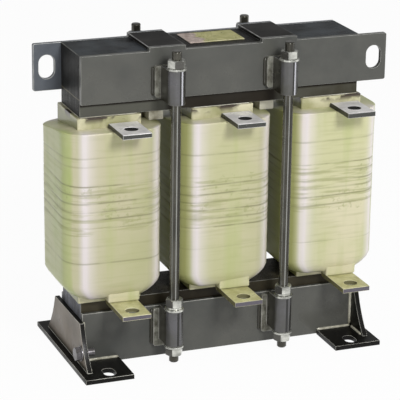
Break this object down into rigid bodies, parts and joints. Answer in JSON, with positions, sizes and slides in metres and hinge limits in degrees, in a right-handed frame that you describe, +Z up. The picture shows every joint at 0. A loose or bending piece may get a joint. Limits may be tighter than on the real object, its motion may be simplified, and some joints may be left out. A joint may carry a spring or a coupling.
{
  "type": "load-side reactor",
  "caption": "Three-phase iron-core reactor with taped coils on a clamped laminated core, flat terminal bars, tie rods and feet.",
  "frame": {"origin": "centre of the core's footprint, level with the underside of the feet", "axes": "+X along the row of coils, -Y towards the terminal bars, +Z up"},
  "size_m": [0.358, 0.1735, 0.3297],
  "materials": {
    "bracket_paint": "grey-black enamel over welded sheet, glossy",
    "clamp_paint": "grey-black enamel, glossy",
    "coil_resin": "clear resin over pale glass tape, glossy",
    "core_lacquer": "lacquered lamination edges, satin",
    "foot_paint": "grey-black enamel, glossy",
    "former_laminate": "resin-soaked laminate tube",
    "plate_metal": "bare plate",
    "rod_steel": "lacquered steel rod",
    "spacer_laminate": "glass-fibre laminate",
    "strap_paint": "black enamel, satin",
    "tinned_bar": "tinned bar",
    "varnished_bar": "tinned bar under clear varnish",
    "yoke_lacquer": "black lacquer over lamination edges, glossy",
    "zinc_steel": "bright zinc"
  },
  "bodies": {
    "root": {"coil_block_left": "spacer_laminate", "coil_block_right": "spacer_laminate", "coil_centre": "coil_resin", "coil_left": "coil_resin", "coil_right": "coil_resin", "core_stack": "core_lacquer", "earth_bolt": "zinc_steel", "earth_washer": "zinc_steel", "foot_left": "foot_paint", "foot_right": "foot_paint", "former_centre": "former_laminate", "former_left": "former_laminate", "former_right": "former_laminate", "gap_spacer_centre": "spacer_laminate", "gap_spacer_left": "spacer_laminate", "gap_spacer_right": "spacer_laminate", "lower_bracket_front_left": "bracket_paint", "lower_bracket_front_right": "bracket_paint", "lower_bracket_rear_left": "bracket_paint", "lower_bracket_rear_right": "bracket_paint", "lower_clamp_front": "clamp_paint", "lower_clamp_rear": "clamp_paint", "lower_nuts": "zinc_steel", "lower_strap_left": "strap_paint", "lower_strap_right": "strap_paint", "lower_terminal_centre": "varnished_bar", "lower_terminal_left": "varnished_bar", "lower_terminal_right": "varnished_bar", "lower_washers": "zinc_steel", "middle_nuts": "zinc_steel", "rating_plate": "plate_metal", "spring_washers": "zinc_steel", "tie_rod_front_left": "rod_steel", "tie_rod_front_right": "rod_steel", "tie_rod_rear_left": "rod_steel", "tie_rod_rear_right": "rod_steel", "upper_bracket_front_left": "bracket_paint", "upper_bracket_front_right": "bracket_paint", "upper_bracket_rear_left": "bracket_paint", "upper_bracket_rear_right": "bracket_paint", "upper_clamp_front": "clamp_paint", "upper_clamp_rear": "clamp_paint", "upper_nuts": "zinc_steel", "upper_strap_left": "strap_paint", "upper_strap_right": "strap_paint", "upper_terminal_centre": "tinned_bar", "upper_terminal_left": "tinned_bar", "upper_terminal_right": "tinned_bar", "upper_washers": "zinc_steel", "upper_yoke": "yoke_lacquer"}
  },
  "joints": []
}
